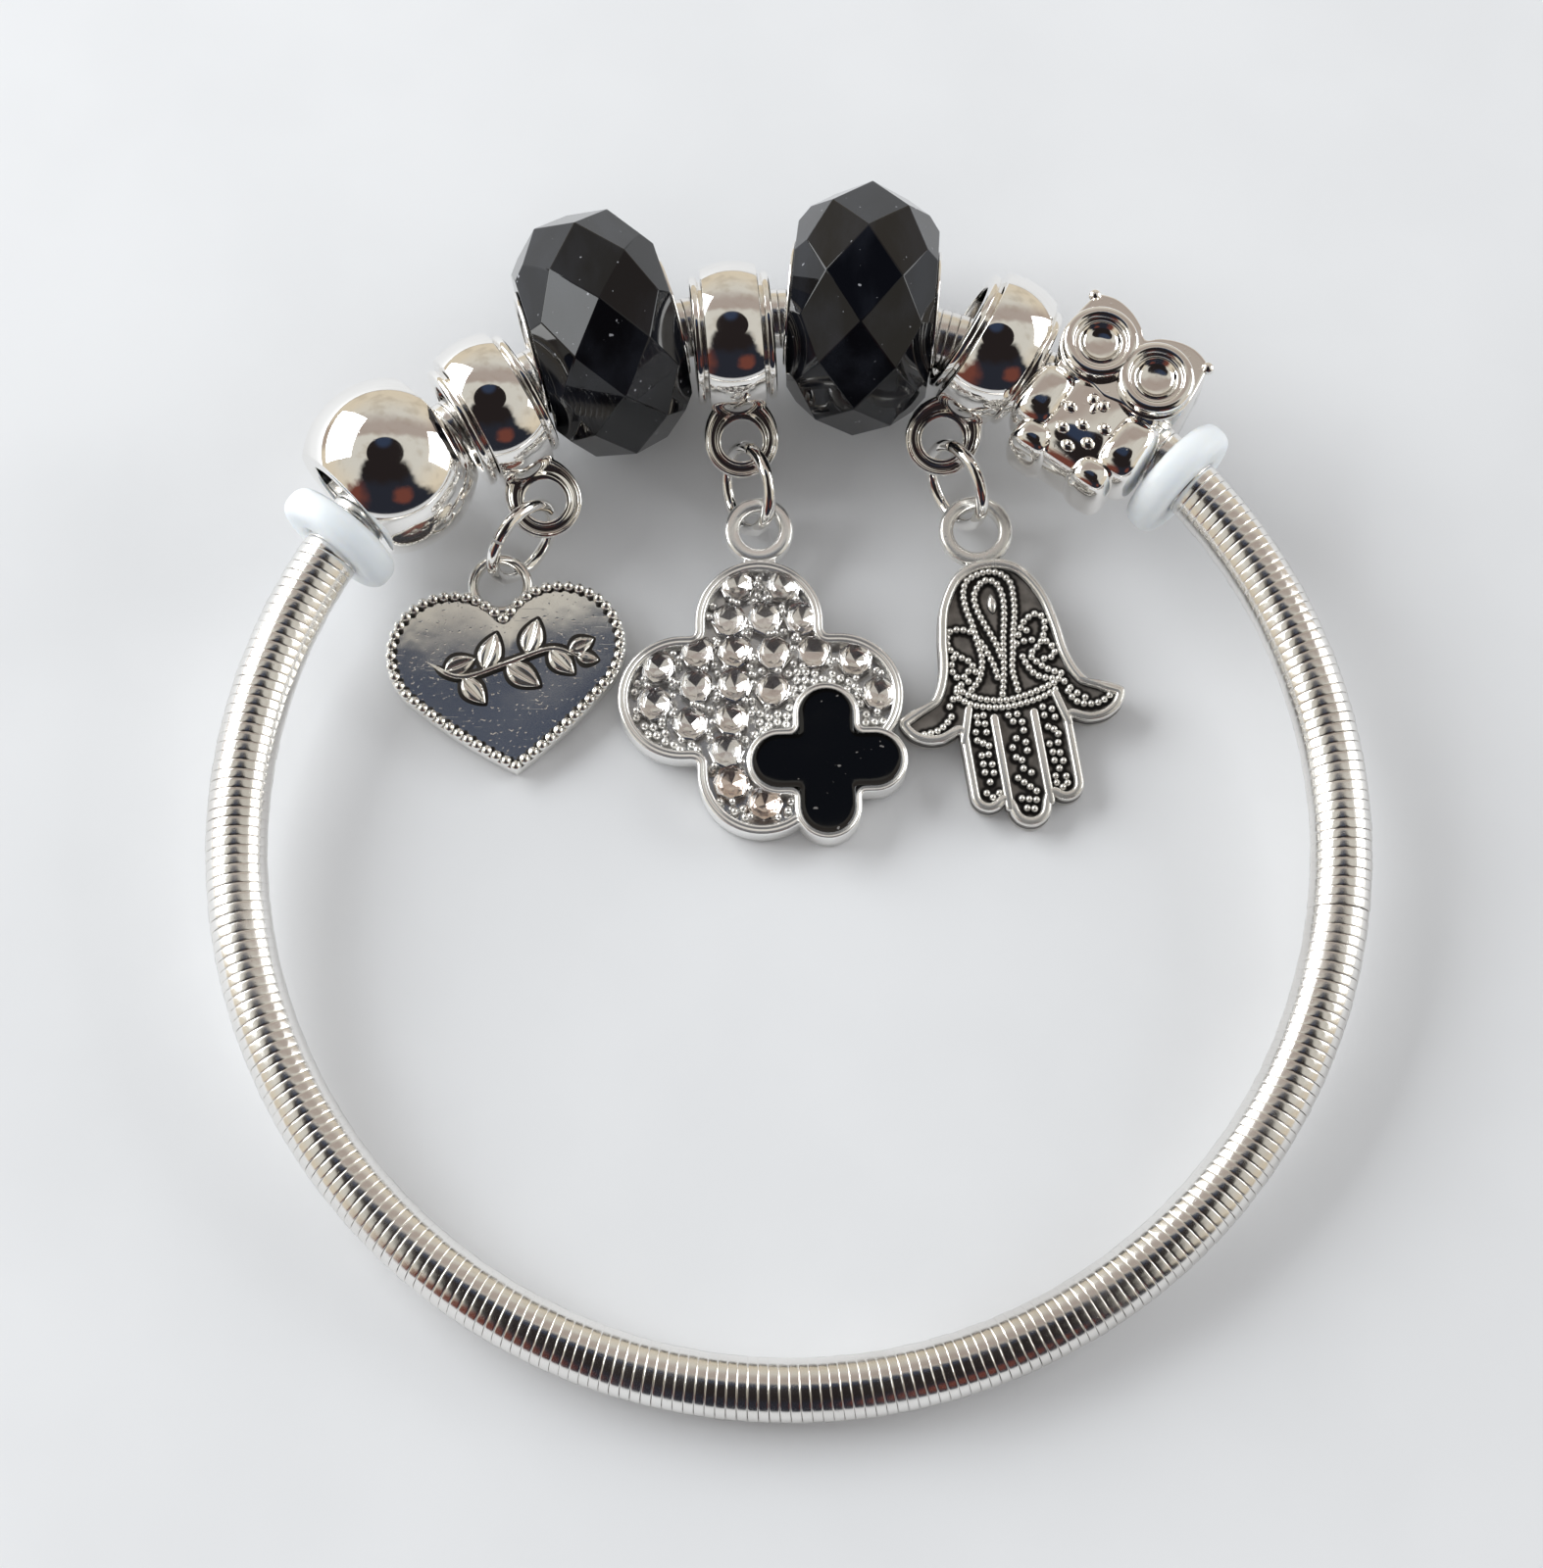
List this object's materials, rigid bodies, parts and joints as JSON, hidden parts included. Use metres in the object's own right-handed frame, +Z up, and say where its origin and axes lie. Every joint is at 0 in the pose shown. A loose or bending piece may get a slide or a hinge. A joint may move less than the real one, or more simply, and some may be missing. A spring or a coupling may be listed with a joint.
{
  "type": "charm bangle",
  "caption": "Coil-wound bangle lying on its side, with metal ball, owl and black facetted glass beads between rubber stoppers, and heart, clover and open-hand charms.",
  "frame": {"origin": "under the middle of the whole bangle, on the surface that it lies on", "axes": "+Z up from that surface; +Y across the wrist hole towards the row of beads, along the longest extent; +X to the right along the row"},
  "size_m": [0.0638, 0.0696, 0.0144],
  "materials": {
    "coil": "bright nickel-plated spring wire, close wound",
    "core": "plain wire, hidden in the coil",
    "rubber": "milky translucent silicone, satin",
    "polished": "mirror polished plating",
    "cast": "bright silver plating over a casting",
    "antique": "antique silver plating, dark in the recesses",
    "black_glass": "opaque black, fire polished facets",
    "enamel": "glossy black enamel"
  },
  "bodies": {
    "root": {"coil_band": "coil", "core_wire": "core", "stopper_left": "rubber", "stopper_right": "rubber", "ball_bead": "polished", "bail_bead_heart": "polished", "bail_bead_clover": "polished", "bail_bead_hamsa": "polished", "facet_bead_left": "black_glass", "facet_bead_right": "black_glass", "facet_core_left": "polished", "facet_core_right": "polished", "owl_bead": "cast", "jump_ring_heart": "polished", "jump_ring_clover": "polished", "jump_ring_hamsa": "polished", "heart_charm": "cast", "clover_charm": "cast", "clover_enamel": "enamel", "hamsa_charm": "antique"}
  },
  "joints": []
}
